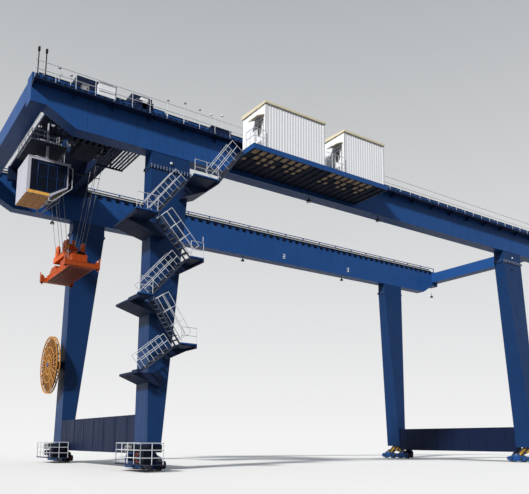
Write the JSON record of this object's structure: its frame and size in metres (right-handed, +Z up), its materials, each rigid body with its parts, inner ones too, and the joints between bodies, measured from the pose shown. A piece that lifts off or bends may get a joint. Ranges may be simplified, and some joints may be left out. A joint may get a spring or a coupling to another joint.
{
  "type": "rail mounted gantry crane, half-size scale model",
  "caption": "Half-size scale model of a rail mounted container gantry crane with cantilevered twin girders, trolley, cab and telescopic spreader.",
  "frame": {"origin": "middle of the crane's footprint box, at the level of the wheel flanges' lowest points", "axes": "+X along the main girders from the cab's side to the plain side, +Y across them away from the electric houses, +Z up"},
  "size_m": [26.885, 11.6698, 12.4],
  "materials": {
    "blue_paint": "semi-gloss marine paint, weathered",
    "white_panel": "coated corrugated sheet",
    "cream_trim": "coated flashing",
    "rail_white": "white painted tube",
    "deck_steel": "painted chequer plate and grating",
    "orange_paint": "orange paint, scuffed",
    "reel_paint": "orange-brown paint",
    "wheel_steel": "dark forged steel with a bright tread",
    "rope_steel": "greased wire rope",
    "cab_paint": "white cab paint",
    "cab_pane": "tinted safety glass",
    "hazard_paint": "yellow and black striped paint"
  },
  "bodies": {
    "gantry": {"bogies_far_left": "blue_paint", "bogies_far_right": "blue_paint", "bogies_near_left": "blue_paint", "bogies_near_right": "blue_paint", "cable_posts": "blue_paint", "drive_cages": "rail_white", "end_tie_left": "blue_paint", "end_tie_right": "blue_paint", "girder_far": "blue_paint", "girder_near": "blue_paint", "handrail_far": "rail_white", "handrail_near": "rail_white", "house_1_walls": "white_panel", "house_2_walls": "white_panel", "house_canopies": "cream_trim", "house_floors": "deck_steel", "house_platform": "blue_paint", "house_roofs": "cream_trim", "leg_far_left": "blue_paint", "leg_far_right": "blue_paint", "leg_near_left": "blue_paint", "leg_near_right": "blue_paint", "platform_handrail": "rail_white", "reel_bracket": "blue_paint", "rocker_far_left": "hazard_paint", "rocker_far_right": "hazard_paint", "rocker_near_left": "hazard_paint", "rocker_near_right": "hazard_paint", "sill_left": "blue_paint", "sill_right": "blue_paint", "stair_flight_1": "deck_steel", "stair_flight_2": "deck_steel", "stair_flight_3": "deck_steel", "stair_flight_4": "deck_steel", "stair_flight_5": "deck_steel", "stair_flight_6": "deck_steel", "stair_handrails": "rail_white", "stair_landings": "deck_steel", "trolley_rails": "rail_white", "walkway_far": "deck_steel", "walkway_near": "deck_steel", "wheels_far_left": "wheel_steel", "wheels_far_right": "wheel_steel", "wheels_near_left": "wheel_steel", "wheels_near_right": "wheel_steel"},
    "trolley": {"trolley_frame": "blue_paint", "trolley_wheels": "wheel_steel", "trolley_deck": "deck_steel", "deck_handrails": "rail_white", "hoist_machinery": "deck_steel", "cab_shell": "cab_paint", "cab_glass": "cab_pane", "hoist_ropes": "rope_steel"},
    "spreader": {"headblock": "orange_paint", "spreader_frame": "orange_paint"},
    "arm_near": {"spreader_arm_near": "orange_paint"},
    "arm_far": {"spreader_arm_far": "orange_paint"},
    "reel": {"cable_reel": "reel_paint"},
    "door_1": {"house_1_door": "white_panel"},
    "door_2": {"house_2_door": "white_panel"}
  },
  "joints": [
    {"name": "trolley_travel", "type": "slide", "parent": "gantry", "child": "trolley", "axis": [1, 0, 0], "range_m": [-0.4, 21.8]},
    {"name": "hoist", "type": "slide", "parent": "trolley", "child": "spreader", "axis": [0, 0, 1], "range_m": [-6.5, 1.4], "deforming": ["hoist_ropes"]},
    {"name": "arm_near_slide", "type": "slide", "parent": "spreader", "child": "arm_near", "axis": [0, -1, 0], "range_m": [0, 1.525]},
    {"name": "arm_far_slide", "type": "slide", "parent": "spreader", "child": "arm_far", "axis": [0, 1, 0], "range_m": [0, 1.525]},
    {"name": "reel_spin", "type": "hinge", "parent": "gantry", "child": "reel", "pos_m": [-10.0275, 4.645, 3.95], "axis": [1, 0, 0], "continuous": true},
    {"name": "house_1_door_swing", "type": "hinge", "parent": "gantry", "child": "door_1", "pos_m": [-6.3625, -5.587, 10.97], "axis": [0, 0, 1], "range_deg": [0, 95]},
    {"name": "house_2_door_swing", "type": "hinge", "parent": "gantry", "child": "door_2", "pos_m": [-2.9075, -5.587, 10.97], "axis": [0, 0, 1], "range_deg": [0, 95]}
  ],
  "couplings": [
    {"joint": "arm_far_slide", "follows": "arm_near_slide", "ratio": 1}
  ]
}
